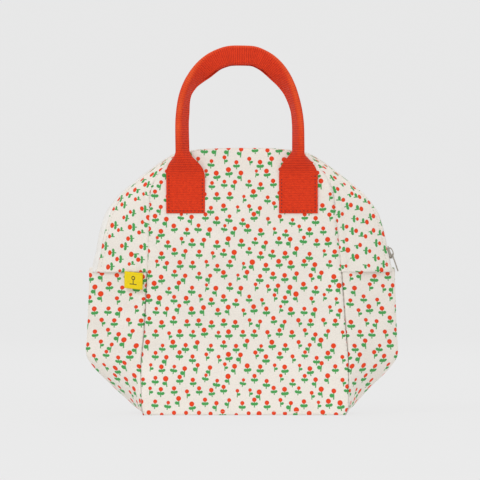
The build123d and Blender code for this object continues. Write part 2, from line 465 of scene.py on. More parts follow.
class Made:
    """A node that a shader has added."""

    def __init__(self, shader: "Shader", node: bpy.types.Node) -> None:
        """Wraps a node of a shader."""
        self.shader, self.node = shader, node

    def value(self, output: Union[int, str] = 0) -> Value:
        """One of its outputs."""
        return Value(self.shader, self.node.outputs[output])


class Shader:
    """A material's node tree, with one method that adds any node."""

    def __init__(self, name: str) -> None:
        """Starts an empty material.

        Args:
            name: the material's name.
        """
        self.material = bpy.data.materials.new(name)
        self.material.use_nodes = True
        self.tree = self.material.node_tree
        self.tree.nodes.clear()

    def node(
        self, kind: str, settings: Optional[dict[str, Any]] = None, inputs: Optional[dict[Any, Any]] = None
    ) -> Made:
        """Adds a node.

        Args:
            kind: its type.
            settings: its own settings, set first.
            inputs: a value or a link for each of its sockets.

        Returns:
            The node.
        """
        node = self.tree.nodes.new(kind)
        for key, value in (settings or {}).items():
            setattr(node, key, value)
        for key, value in (inputs or {}).items():
            if isinstance(value, Value):
                self.tree.links.new(value.socket, node.inputs[key])
            else:
                node.inputs[key].default_value = value
        return Made(self, node)

    def mix(self, share: Number, low: Any, high: Any) -> Value:
        """A colour between low and high.

        Args:
            share: how far it is from low to high.
            low: a colour, or a value that gives one.
            high: the other.

        Returns:
            The colour.
        """
        low, high = (c if isinstance(c, Value) else (*c, 1.0) for c in (low, high))
        sockets = {0: share, 6: low, 7: high}
        return self.node("ShaderNodeMix", {"data_type": "RGBA", "clamp_factor": True}, sockets).value(2)

    def cloth_place(self) -> tuple[Value, Value, Value]:
        """The place on the cloth: the vector in metres, and its two parts in millimetres.

        Returns:
            The vector, the part across the cloth and the part up it.
        """
        place = self.node("ShaderNodeUVMap", {"uv_map": PRINT_MAP}).value()
        parts = self.node("ShaderNodeSeparateXYZ", {}, {0: place})
        return place, parts.value(0) * 1000.0, parts.value(1) * 1000.0

    def object_place(self) -> Value:
        """The place on the object, in metres."""
        return self.node("ShaderNodeTexCoord").value("Object")

    def noise(self, place: Value, scale: float, detail: float = 2.0) -> Value:
        """Soft noise from 0 to 1."""
        return self.node("ShaderNodeTexNoise", {}, {"Vector": place, "Scale": scale, "Detail": detail}).value(0)

    def close(
        self, base: Any, rough: Number, bump: Optional[Value] = None, depth: float = 0.0002, **fixed: Any
    ) -> bpy.types.Material:
        """Ends the material in one surface shader.

        Args:
            base: base colour, or a value that gives it.
            rough: roughness.
            bump: height that bends the normal, from 0 to 1.
            depth: the depth of the bump, in metres.
            fixed: other sockets of the surface shader, with _ for a space.

        Returns:
            The finished material.
        """
        sockets: dict[Any, Any] = {"Base Color": base if isinstance(base, Value) else (*base, 1.0), "Roughness": rough}
        sockets |= {key.replace("_", " "): value for key, value in fixed.items()}
        if bump is not None:
            height = {"Height": bump, "Distance": depth, "Strength": 1.0}
            sockets["Normal"] = self.node("ShaderNodeBump", {}, height).value()
        surface = self.node("ShaderNodeBsdfPrincipled", {}, sockets)
        self.node("ShaderNodeOutputMaterial", {}, {0: surface.value()})
        return self.material


def srgb(red: int, green: int, blue: int) -> Colour:
    """A colour as the shader wants it, from its 0 to 255 values."""
    shares = (red / 255, green / 255, blue / 255)
    return tuple(c / 12.92 if c <= 0.04045 else ((c + 0.055) / 1.055) ** 2.4 for c in shares)


# ---------------------------------------------------------------- finishes


@dataclass(frozen=True)
class PrintedCanvas:
    """Cream cotton canvas with a small all-over flower print."""

    ground: Colour = srgb(245, 238, 228)
    head: Colour = srgb(224, 60, 20)
    core: Colour = srgb(238, 66, 16)
    leaf: Colour = srgb(68, 160, 82)
    cell_w: float = 24.6
    cell_h: float = 22.8
    wander: float = 3.4
    head_r: float = 2.1
    head_up: float = 3.4
    leaf_r: float = 2.02
    leaf_out: float = 1.8
    leaf_down: float = 0.6
    leaf_rise: float = 0.42
    bare_side: float = 0.77
    thread: float = 0.85

    def sprig(
        self, s: Shader, u: Value, v: Value, shift: tuple[float, float], seed: float
    ) -> tuple[Value, Value, Value]:
        """One of the print's four interleaved layers.

        Args:
            s: the shader.
            u: place across the cloth, in millimetres.
            v: place up the cloth.
            shift: the layer's offset, as shares of a cell.
            seed: picks the layer's unevenness.

        Returns:
            How much flower head, flower core and leaf there is.
        """
        across, up = u / self.cell_w + shift[0], v / self.cell_h + shift[1]
        col, row = across.do("FLOOR"), up.do("FLOOR")
        cell = s.node("ShaderNodeCombineXYZ", {}, {0: col, 1: row, 2: seed}).value()
        luck = s.node("ShaderNodeTexWhiteNoise", {"noise_dimensions": "3D"}, {"Vector": cell})
        parts = s.node("ShaderNodeSeparateXYZ", {}, {0: luck.value("Color")})
        r1, r2, r3, r4 = parts.value(0), parts.value(1), parts.value(2), luck.value("Value")
        x = (across - col - 0.5) * self.cell_w + (r1 - 0.5) * self.wander
        y = (up - row - 0.5) * self.cell_h + (r2 - 0.5) * self.wander
        turn = (r3 - 0.5) * 0.36
        c, n = turn.cos(), turn.sin()
        size = r4 * 0.3 + 0.87
        x, y = (x * c + y * n) / size, (y * c - x * n) / size
        head = (x * x + (y - self.head_up) * (y - self.head_up)).root() - (r3 - 0.5) * 0.7
        stem = x.absolute().most(((y + 0.9).absolute() - 3.0) + 0.5)
        broad = 1.3 - r4.do("GREATER_THAN", 0.86) * 0.2
        leaves = None
        for sign, lot in ((1.0, r1), (-1.0, 1.0 - r1)):
            lx, ly = x - sign * self.leaf_out, y + self.leaf_down
            rise = sign * self.leaf_rise
            along, side = lx + ly * rise, (ly - lx * rise) * broad
            reach = (along * along + side * side).root() + lot.do("GREATER_THAN", self.bare_side) * 9.0
            blade = reach.inside(self.leaf_r, 0.4)
            leaves = blade if leaves is None else leaves.most(blade)
        green = leaves.most(stem.inside(0.52, 0.35))
        return head.inside(self.head_r, 0.4), head.inside(1.3, 1.2), green

    def build(self) -> bpy.types.Material:
        """Makes the material.

        Returns:
            The finish.
        """
        s = Shader("printed_canvas")
        place, u, v = s.cloth_place()
        head = core = leaf = None
        for i, shift in enumerate(((0.0, 0.0), (0.5, 0.12), (0.25, 0.5), (0.75, 0.62))):
            h, k, g = self.sprig(s, u, v, shift, 3.0 + 7.0 * i)
            head, core, leaf = (h, k, g) if head is None else (head.most(h), core.most(k), leaf.most(g))
        ink = s.noise(place, 1500.0) * 0.3 + 0.86
        cloudy = s.noise(place, 26.0, 3.0) * 0.35 + s.noise(place, 760.0, 2.0) * 0.65
        ground = s.mix((cloudy - 0.32) * 2.8, self.ground, tuple(c * 0.86 for c in self.ground))
        colour = s.mix(leaf * ink.do("MINIMUM", 1.0), ground, self.leaf)
        colour = s.mix(head * ink.do("MINIMUM", 1.0), colour, s.mix(core, self.head, self.core))
        turn = math.pi / self.thread
        weave = (u * turn).sin().absolute() * 0.5 + (v * turn).sin().absolute() * 0.5
        slub = s.noise(place, 420.0, 3.0)
        bump = weave * 0.45 + slub * 0.9
        rough = slub * 0.1 + 0.82
        return s.close(colour, rough, bump, 0.00022, Sheen_Weight=0.04, Sheen_Roughness=0.6, Specular_IOR_Level=0.2)


@dataclass(frozen=True)
class PlainCloth:
    """A plain woven cloth in one dyed colour."""

    name: str
    dye: Colour
    thread: float = 0.6
    twill: float = 0.0
    fade: float = 0.9

    def build(self) -> bpy.types.Material:
        """Makes the material.

        Returns:
            The finish.
        """
        s = Shader(self.name)
        place, u, v = s.cloth_place()
        turn = math.pi / self.thread
        slanted = u + v * self.twill
        weave = (slanted * turn).sin().absolute() * 0.5 + (v * turn).sin().absolute() * 0.5
        slub = s.noise(place, 500.0, 3.0)
        colour = s.mix(s.noise(place, 40.0, 3.0), self.dye, tuple(c * self.fade for c in self.dye))
        height = weave * 0.6 + slub * 0.6
        return s.close(colour, slub * 0.1 + 0.8, height, 0.00018, Sheen_Weight=0.1, Specular_IOR_Level=0.2)


@dataclass(frozen=True)
class Webbing:
    """Heavy ribbed cotton webbing, with ribs across it and fine warp threads along it; its colour has painted shade in
    the rib hollows and a painted highlight along the grip's fold.
    """

    dye: Colour = srgb(243, 66, 24)
    # Darker red of the painted shade in the rib hollows.
    deep: Colour = srgb(186, 36, 18)
    # Lighter orange of the painted highlight along the folded middle of the grip.
    worn: Colour = srgb(250, 104, 48)
    middle: float = 202.0
    rib: float = 2.3
    warp: float = 1.15

    def build(self) -> bpy.types.Material:
        """Makes the material.

        Returns:
            The finish.
        """
        s = Shader("handle_webbing")
        place, u, v = s.cloth_place()
        cross = (v * (math.pi / self.rib) + (u * (math.pi / self.warp)).sin() * 0.5).sin().absolute()
        long_way = (u * (math.pi / self.warp)).sin().absolute()
        fuzz = s.noise(place, 900.0, 3.0)
        sewn = 1.0 - (v - self.middle).absolute().inside(160.0, 5.0)
        grain = s.noise(place, 640.0, 2.0)
        # Painted shade: the colour darkens towards deep where the ribs and warp threads dip, with weaker rib contrast
        # and a grainy tone on the sewn ends.
        hollow_shade = 1.0 - (cross * (0.6 - sewn * 0.4) + long_way * 0.4 + sewn * (0.9 - grain) * 0.9)
        colour = s.mix(hollow_shade * 1.15 + (s.noise(place, 300.0) - 0.5) * 0.7, self.dye, self.deep)
        # Painted highlight: a patchy lighter orange streak along the folded middle of the grip.
        grip = (v - self.middle).absolute().inside(132.0, 30.0)
        fold_highlight = u.absolute().inside(2.6, 4.0) * grip * (s.noise(place, 45.0) * 0.9)
        colour = s.mix(fold_highlight, colour, self.worn)
        height = cross * 0.7 + long_way * 0.5 + fuzz * 0.4
        gloss = {"Sheen_Weight": 0.04, "Sheen_Roughness": 0.5, "Specular_IOR_Level": 0.2}
        return s.close(colour, fuzz * 0.12 + 0.72, height, 0.0005, **gloss)


@dataclass(frozen=True)
class ZipMetal:
    """Warm grey plated zinc, with a little lighter wear in random patches."""

    plate: Colour = srgb(150, 142, 130)
    worn: Colour = srgb(190, 183, 172)

    def build(self) -> bpy.types.Material:
        """Makes the material.

        Returns:
            The finish.
        """
        s = Shader("zip_metal")
        place = s.object_place()
        marks = s.noise(place, 900.0, 4.0)
        colour = s.mix(s.noise(place, 260.0, 3.0), self.plate, self.worn)
        return s.close(colour, marks * 0.25 + 0.2, marks, 0.00004, Metallic=1.0)


@dataclass(frozen=True)
class Coil:
    """Moulded cream nylon."""

    shade: Colour = srgb(236, 232, 222)

    def build(self) -> bpy.types.Material:
        """Makes the material.

        Returns:
            The finish.
        """
        s = Shader("zip_teeth")
        place = s.object_place()
        colour = s.mix(s.noise(place, 700.0), self.shade, tuple(c * 0.85 for c in self.shade))
        return s.close(colour, s.noise(place, 1500.0) * 0.2 + 0.3, s.noise(place, 2500.0), 0.00004)


@dataclass(frozen=True)
class Ribbon:
    """Yellow damask ribbon with a plain dark sprout woven in its middle."""

    ground: Colour = srgb(255, 224, 10)
    mark: Colour = srgb(40, 40, 38)
    thread: float = 0.5

    def build(self) -> bpy.types.Material:
        """Makes the material.

        Returns:
            The finish.
        """
        s = Shader("label_ribbon")
        place, u, v = s.cloth_place()
        ring = ((u * u + (v - 2.2) * (v - 2.2)).root() - 1.6).absolute()
        stem = u.absolute().most((v + 1.6).absolute() - 2.0)
        bar = (v + 3.9).absolute().most(u.absolute() - 3.4)
        sign = ring.inside(0.45, 0.3).most(stem.inside(0.42, 0.3)).most(bar.inside(0.4, 0.3))
        turn = math.pi / self.thread
        weave = ((u + v) * turn).sin().absolute()
        colour = s.mix(sign, s.mix(weave, tuple(c * 0.94 for c in self.ground), self.ground), self.mark)
        return s.close(colour, s.noise(place, 900.0) * 0.1 + 0.5, weave + sign * 0.6, 0.00012, Specular_IOR_Level=0.25)


@dataclass(frozen=True)
class Finishes:
    """Every finish of the bag, made once."""

    canvas: bpy.types.Material
    lining: bpy.types.Material
    webbing: bpy.types.Material
    tape: bpy.types.Material
    teeth: bpy.types.Material
    metal: bpy.types.Material
    ribbon: bpy.types.Material
    seam_thread: bpy.types.Material
    handle_thread: bpy.types.Material

    @staticmethod
    def make() -> "Finishes":
        """Builds all of them.

        Returns:
            The set.
        """
        return Finishes(
            canvas=PrintedCanvas().build(),
            lining=PlainCloth("lining_cloth", srgb(240, 235, 224), 0.6, 1.0).build(),
            webbing=Webbing().build(),
            tape=PlainCloth("zip_tape", srgb(247, 244, 239), 0.7, 1.0, 0.95).build(),
            teeth=Coil().build(),
            metal=ZipMetal().build(),
            ribbon=Ribbon().build(),
            seam_thread=thread("seam_thread", srgb(216, 209, 194)),
            handle_thread=thread("handle_thread", srgb(132, 20, 14)),
        )


def thread(name: str, dye: Colour) -> bpy.types.Material:
    """Twisted sewing thread in one dyed colour.

    Args:
        name: the finish's name.
        dye: the colour.

    Returns:
        The finish.
    """
    s = Shader(name)
    place = s.object_place()
    twist = s.noise(place, 1800.0, 3.0)
    return s.close(s.mix(twist, dye, tuple(c * 0.75 for c in dye)), twist * 0.2 + 0.5, twist, 0.00008, Sheen_Weight=0.1)


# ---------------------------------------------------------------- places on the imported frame


def corners(node: str) -> tuple[Array, Array]:
    """A CAD node's lowest and highest corners, in millimetres."""
    low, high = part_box(node)
    return np.array(low) / MM, np.array(high) / MM


def pivot(joint: str) -> Array:
    """The point that a joint turns about, in millimetres."""
    return np.array(next(j["pos_m"] for j in frame["joints"] if j["name"] == joint)) / MM


MOUTH_Y, CREASE_Z = (float(c) for c in pivot("back_mouth")[1:])
ARCH_Z = float(pivot("zip_travel")[2])
ARCH_R = float(corners("front_zip_facing")[1][2]) - ARCH_Z
FOLD_Y = float(corners("back_zip_facing")[0][1])
BASE_HALF_D = float(corners("base_panel")[1][1])
PANEL_HALF_W = float(corners("front_panel_lower")[1][0])
SIDE_SPAN = float(corners("right_side_panel")[1][0]) - PANEL_HALF_W
CROWN_TOP = float(corners("front_panel_upper")[1][2])
SHOULDER_Z = CROWN_TOP - 44.0
ARCH_HEART = np.array([0, 0, CREASE_Z - 15])


# ---------------------------------------------------------------- the bag's form


@dataclass
class Form:
    """The bag's shape, shared by every piece of cloth, so that their edges meet.

    Knots are (height, how far out past the CAD panel) for the seams, (how far in from the panel's edge, how far
    under its top) for the crown, (height, share of the base's extra depth) for depth, (height, how far short of the
    CAD side) for short, and (angle in degrees, how far out past the CAD arch) for swell.
    """

    seam_left: Knots = ((0, -0.5), (9, 2.5), (45, 3), (83, 0), (143, -3), (200, -5), (221, -6))
    seam_right: Knots = ((0, 4), (9, 8.5), (45, 8.5), (83, 6), (143, 1.5), (200, -4), (221, -7))
    crown_left: Knots = (
        (6, 44), (9, 35), (14, 26), (21, 18), (33, 9.5), (51, 3.5), (75, 0.8), (97, 0.4),
    )
    crown_right: Knots = ((75, 0.8), (51, 3.2), (32, 11), (20, 20.5), (11, 33), (7, 44))
    depth: Knots = ((0, 1), (30, 0.5625), (64, 0.172), (100, 0.047), (145, 0), (266, 0))
    short: Knots = (
        (0, 58), (12, 44.5), (28, 26.5), (48, 7), (57, 1.7), (64, 0.8), (74, 1.7), (145, 4.5),
    )
    swell: Knots = (
        (12, -1.6), (15.5, -0.8), (18.7, -0.55), (22, 1.3), (28, 5.0), (35, 8.6), (41, 8.6), (48, 7.0),
        (54, 6.8), (60, 7.8), (65, 8.6), (73, 4.8), (82, 0.7), (90, -1.2),
    )
    arch_end: float = 11.6
    roll: float = 2.9
    roll_reach: float = 1.5
    belly: float = 2.6
    uneven: float = 1.15
    pucker: float = 0.4
    shoulder_lift: float = 0.9
    hem_tuck: float = 1.3
    facing_puff: float = 2.6
    facing_uneven: float = 0.8
    stitch_groove: float = 1.3
    groove_at: float = 8.5
    side_uneven: float = 1.3
    side_blunt: float = 0.16
    side_rise: float = 0.6
    side_ease: float = 0.82
    base_tuck: float = 1.6

    def seam_x(self, z: Array, side: Side) -> Array:
        """How far out the front and back panels reach at a height."""
        return PANEL_HALF_W + through(self.seam_left if side is Side.LEFT else self.seam_right, z)

    def half_depth(self, z: Array) -> Array:
        """Half the bag's depth at a height."""
        return MOUTH_Y + (BASE_HALF_D - MOUTH_Y) * through(self.depth, z)

    def crown(self, count: int) -> Array:
        """The panel's upper edge from its left shoulder to its right one, as x and z.

        Args:
            count: how many points.

        Returns:
            The points.
        """
        left = [(inwards - PANEL_HALF_W, CROWN_TOP - drop) for inwards, drop in self.crown_left]
        right = [(PANEL_HALF_W - inwards, CROWN_TOP - drop) for inwards, drop in self.crown_right]
        knots = np.array(left + right, float)
        step = np.concatenate([[0], np.cumsum(np.linalg.norm(np.diff(knots, axis=0), axis=1))])
        s = np.linspace(0, step[-1], 8 * count)
        smooth = np.stack([through(list(zip(step, knots[:, k])), s) for k in (0, 1)], axis=1)
        return even(smooth, count)

    def side_line(self, side: Side, low: float, high: float, count: int) -> Array:
        """The panel's side seam between two heights, as x and z."""
        z = np.linspace(low, high, count)
        return np.stack([side.value * self.seam_x(z, side), z], axis=1)

    def upper_seam(self, count: int) -> Array:
        """The seam between panel and facing, from the left crease over the top to the right one.

        Args:
            count: how many points.

        Returns:
            The points, as x and z.
        """
        left = self.side_line(Side.LEFT, CREASE_Z - 4, SHOULDER_Z, 200)
        right = self.side_line(Side.RIGHT, CREASE_Z - 4, SHOULDER_Z, 200)[::-1]
        return even(np.concatenate([left, self.crown(500)[1:-1], right]), count)

    def arch(self, count: int, drop: Callable[[Array], Array]) -> Array:
        """The zip's line over the bag from left to right, as x and z.

        Args:
            count: how many points.
            drop: how far inside the zip's own line it runs, by angle in degrees.

        Returns:
            The points.
        """
        angle = np.linspace(180 - self.arch_end, self.arch_end, count * 2)
        mirrored = np.where(angle > 90, 180 - angle, angle)
        r = ARCH_R + through(self.swell, mirrored) - drop(angle)
        line = np.stack([r * np.cos(np.radians(angle)), ARCH_Z + r * np.sin(np.radians(angle))], axis=1)
        return even(line, count)

    def panel(self, face: Face, inset: float, cols: int = 120, rows: int = 150) -> tuple[Array, Array]:
        """The front or back panel's grid and print places.

        Args:
            face: which panel.
            inset: how far inside the canvas's outer face it lies.
            cols: points across.
            rows: points up.

        Returns:
            The grid of points, and its place on the cloth.
        """
        s, v = (crowded(cols) + 1) / 2, (crowded(rows) + 1) / 2
        top = self.crown(400)
        upper = np.stack([np.interp(s, np.linspace(0, 1, 400), top[:, k]) for k in (0, 1)], axis=1)
        z_side = v * SHOULDER_Z
        left = np.stack([-self.seam_x(z_side, Side.LEFT), z_side], axis=1)
        right = np.stack([self.seam_x(z_side, Side.RIGHT), z_side], axis=1)
        lower = np.stack([left[0, 0] + (right[0, 0] - left[0, 0]) * s, 0 * s], axis=1)
        S, V = s[None, :, None], v[:, None, None]
        flat = (
            (1 - V) * lower[None] + V * upper[None] + (1 - S) * left[:, None] + S * right[:, None]
            - ((1 - S) * (1 - V) * lower[0] + S * (1 - V) * lower[-1] + (1 - S) * V * upper[0] + S * V * upper[-1])
        )
        x, z = flat[..., 0], flat[..., 1]
        seam = np.concatenate([left, top, right[::-1]])[::3]
        near = np.sqrt(((flat[:, :, None, :] - seam[None, None]) ** 2).sum(-1)).min(-1)
        low = np.minimum(near, z)
        hem = self.hem_tuck * np.exp(-z / 0.8)
        middle = 1 - np.exp(-low / 22)
        y = self.half_depth(z) + self.belly * middle * ease(z, 0, 60)
        y = y + self.uneven * middle * ripple(x, z, 11 if face is Face.FRONT else 12, 130, 26)
        gathers = np.exp(-near / 9) * np.sin(z / 4.7 + 1.3 * np.sin(z / 13)) * ease(near, 0, 3)
        y = y + self.pucker * gathers - self.roll * np.exp(-near / self.roll_reach) * ease(z, -1, 8) - hem
        y = y + self.shoulder_lift * ease(z, 196, 214) * np.exp(-((np.abs(x) - 88) / 7) ** 2)
        y = y - inset
        return np.stack([x, face.value * y, z], axis=2), np.stack([x * -face.value, z], axis=2)

    def facing(self, face: Face, inset: float, count: int = 240, across: int = 26) -> tuple[Array, Array]:
        """The strip between a panel's seam and the zip.

        Args:
            face: which strip.
            inset: how far inside the canvas's outer face it lies.
            count: points along the zip.
            across: points from the seam to the zip.

        Returns:
            The grid of points, and its place on the cloth.
        """
        seam = self.upper_seam(count)
        edge = self.arch(count, self.rim)
        w = ((crowded(across, 0.5) + 1) / 2)[None, :]
        x = seam[:, :1] * (1 - w) + edge[:, :1] * w
        z = seam[:, 1:] * (1 - w) + edge[:, 1:] * w
        y = MOUTH_Y * (1 - w) + FOLD_Y * w
        out = np.stack([x, z - CREASE_Z + 5], axis=2)
        out = out / np.maximum(np.linalg.norm(out, axis=2, keepdims=True), 1e-6)
        reach = np.hypot(edge[:, 0] - seam[:, 0], edge[:, 1] - seam[:, 1])[:, None]
        puff = np.sin(math.pi * w) * np.clip(reach / 14, 0.15, 1.0) * self.facing_puff
        run = np.linspace(0, 1, count)[:, None] * 620
        waves = ripple(run, w * 40, 31 if face is Face.FRONT else 32, 90, 24)
        puff = puff + self.facing_uneven * np.sin(math.pi * w) * waves
        far = w * np.hypot(reach, 25.0)
        groove = np.exp(-(((far - self.groove_at) / 1.4) ** 2)) * ease(np.minimum(reach, 40), 14, 30)
        puff = puff - self.stitch_groove * groove - self.roll * np.exp(-far / self.roll_reach) - inset
        x, z = x + out[..., 0] * puff * 0.45, z + out[..., 1] * puff * 0.45
        y = y + puff * 0.85
        points = np.stack([x, face.value * y, z], axis=2)
        travel = run_length(points, 0)[:, :1]
        return points, np.stack([np.broadcast_to(travel * -face.value, x.shape), run_length(points, 1) + 3.0], axis=2)

    def rim(self, angle: Array) -> Array:
        """How much zip tape shows beyond the facing's folded edge, by angle."""
        return 0.8 + 3.6 * ease(angle, 136, 150) * (1 - ease(angle, 166, 170)) + 0.9 * ease(angle, 110, 128)

    def side(self, side: Side, inset: float, rows: int = 110, cols: int = 90) -> tuple[Array, Array]:
        """A lower side panel, which comes to a soft fold.

        Args:
            side: which panel.
            inset: how far inside the canvas's outer face it lies.
            rows: points up.
            cols: points from front to back.

        Returns:
            The grid of points, and its place on the cloth.
        """
        high = CREASE_Z + self.side_rise
        z = ((crowded(rows, 0.3) + 1) / 2)[:, None] * high
        w = np.sign(np.linspace(-1, 1, cols)) * np.abs(np.linspace(-1, 1, cols)) ** 1.15
        q = np.abs(w)[None, :]
        blunt = self.side_blunt
        top = math.sqrt(1 + blunt**2)
        h = (top - np.sqrt(q * q + blunt * blunt)) / (top - blunt)
        deep = self.half_depth(z)
        reach = self.seam_x(z, side)
        span = SIDE_SPAN - through(self.short, z) - (reach - PANEL_HALF_W - 1.0) * ease(z, -10, 30)
        swell = ease(z, 0, 40) * ripple(q * 50, z, 41 + int(side.value), 80, 22)
        swell = self.side_uneven * np.sin(math.pi * q) * swell
        near = (1 - q) * np.hypot(span, deep)
        x = reach + span * h + swell * 0.5 - inset
        rolled = self.roll * np.exp(-near / self.roll_reach)
        y = deep * w[None, :] + np.sign(w)[None, :] * (swell * 0.6 - rolled - inset * 0.6 * (1 - h))
        lip = np.exp(-(high - z) / 1.3)
        x = x + 0.5 * ease(z, CREASE_Z - 13, CREASE_Z - 2) - 0.9 * lip
        points = np.stack([side.value * x, y, np.broadcast_to(z, x.shape)], axis=2)
        travel = run_length(points, 1)
        travel = (travel - travel[:, cols // 2][:, None]) * side.value
        travel = travel * self.side_ease
        return points, np.stack([travel + 40.0, np.broadcast_to(z, x.shape)], axis=2)

    def base(self, inset: float, cols: int = 90, rows: int = 60) -> tuple[Array, Array]:
        """The base panel.

        Args:
            inset: how far above the canvas's outer face it lies.
            cols: points across.
            rows: points from front to back.

        Returns:
            The grid of points, and its place on the cloth.
        """
        x0, x1 = -self.seam_x(0, Side.LEFT) - 0.5, self.seam_x(0, Side.RIGHT) + 0.5
        x = x0 + (x1 - x0) * (crowded(cols)[None, :] + 1) / 2
        half = BASE_HALF_D - self.base_tuck
        y = half * crowded(rows)[:, None]
        edge = np.minimum(np.minimum(x - x0, x1 - x), half - np.abs(y))
        x, y = x + 0 * y, y + 0 * x
        lifted = 0.5 * (1 + ripple(x, y, 51, 120, 30)) * (1 - np.exp(-edge / 15))
        z = 0.7 * np.exp(-edge / 2.0) + lifted + inset
        return np.stack([x, y, z], axis=2), np.stack([x, y], axis=2)


def oriented(points: Array, uv: Array, outwards: Array) -> tuple[Array, Array]:
    """Turns a grid over if its normals point against outwards.

    Args:
        points: the grid of points.
        uv: its place on the cloth.
        outwards: the direction its outer face looks, one for all or one for each point.

    Returns:
        The grid and its place, turned over or as they were.
    """
    if (grid_normals(points) * outwards).sum() < 0:
        return points[:, ::-1], uv[:, ::-1]
    return points, uv


# ---------------------------------------------------------------- sub-assemblies


CANVAS, LINING = 1.4, 0.6
LINING_INSET = 2.4


def across_mouth(obj: bpy.types.Object) -> bpy.types.Object:
    """Bakes a piece's place into its mesh."""
    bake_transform(obj)
    return obj


@dataclass
class Shell:
    """The canvas outside and the lining inside."""

    form: Form
    finishes: Finishes

    def sheet(
        self, name: str, grid: tuple[Array, Array], outwards: Array, thick: float, lined: bool
    ) -> bpy.types.Object:
        """One cut piece of cloth, with its finish.

        Args:
            name: the piece's name.
            grid: its points and its place on the cloth.
            outwards: a direction, or one for each point, that its outer face looks.
            thick: thickness.
            lined: True for lining cloth.

        Returns:
            The piece.
        """
        points, uv = oriented(grid[0], grid[1], outwards)
        obj = cloth(name, points, uv, thick)
        if lined:
            dress(obj, self.finishes.lining)
        else:
            dress(obj, self.finishes.canvas)
        return obj

    def build(self) -> None:
        """Makes every piece of the shell."""
        form = self.form
        for face in Face:
            out = np.array([0, face.value, 0])
            panel = self.sheet(f"{face.word}_panel", form.panel(face, 0), out, CANVAS, False)
            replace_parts(across_mouth(panel), f"{face.word}_panel_lower", f"{face.word}_panel_upper")
            inner = self.sheet(f"{face.word}_panel_lining", form.panel(face, LINING_INSET, 70, 90), out, LINING, True)
            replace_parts(across_mouth(inner), f"{face.word}_lining_lower", f"{face.word}_lining_upper")
            strip = form.facing(face, 0)
            away = strip[0] - ARCH_HEART
            facing = self.sheet(f"{face.word}_facing", strip, away, CANVAS, False)
            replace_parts(across_mouth(facing), f"{face.word}_zip_facing")
            strip = form.facing(face, LINING_INSET, 160, 18)
            inner = self.sheet(f"{face.word}_facing_inner", strip, strip[0] - ARCH_HEART, LINING, True)
            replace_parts(across_mouth(inner), f"{face.word}_facing_lining")
        for side in Side:
            out = np.array([side.value, 0, 0])
            panel = self.sheet(f"{side.word}_side", form.side(side, 0), out, CANVAS, False)
            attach(panel, "bag_body")
            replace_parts(panel, f"{side.word}_side_panel")
            inner = self.sheet(f"{side.word}_side_inner", form.side(side, LINING_INSET, 60, 50), out, LINING, True)
            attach(inner, "bag_body")
            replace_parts(inner, f"{side.word}_side_lining")
        for name, inset, thick, lined, node in (
            ("base", 0.0, CANVAS, False, "base_panel"), ("base_inner", LINING_INSET, LINING, True, "base_lining"),
        ):
            piece = self.sheet(name, form.base(inset), np.array([0, 0, -1]), thick, lined)
            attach(piece, "bag_body")
            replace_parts(piece, node)


@dataclass
class Pocket:
    """The slip pocket sewn inside the back panel."""

    form: Form
    finishes: Finishes
    half_w: float = float(corners("snack_pocket")[1][0])
    low: float = float(corners("snack_pocket")[0][2])
    high: float = float(corners("snack_pocket")[1][2])
    thick: float = 0.7

    def build(self) -> None:
        """Makes the pocket and its hem stitches."""
        s, v = np.linspace(-1, 1, 60)[None, :], np.linspace(0, 1, 40)[:, None]
        x, z = s * self.half_w + 0 * v, self.low + (self.high - self.low) * v + 0 * s
        gap = 5.5 * ease(v, 0.15, 1.0) * (1 - s**4) + 0.4
        y = self.form.half_depth(z) - LINING_INSET - LINING - 1.3 - gap
        points = np.stack([x, y, z], axis=2)
        points, uv = oriented(points, np.stack([x, z], axis=2), np.array([0, -1, 0]))
        pocket = dress(cloth("snack_pocket_cloth", points, uv, self.thick), self.finishes.lining)
        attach(pocket, "bag_body")
        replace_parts(pocket, "snack_pocket")
        line = points[-5] if points[-1, 0, 2] > points[0, 0, 2] else points[4]
        run = (line + np.array([0, -0.2, 0]), np.tile([0.0, -1.0, 0.0], (len(line), 1)))
        hem = repeat(
            "pocket_hem_stitches", Repeat.STITCH, [run], 3.2, (2.2, 0.5, 0.5), self.finishes.seam_thread
        )
        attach(hem, "bag_body")
        LOG.info("snack pocket and hem")


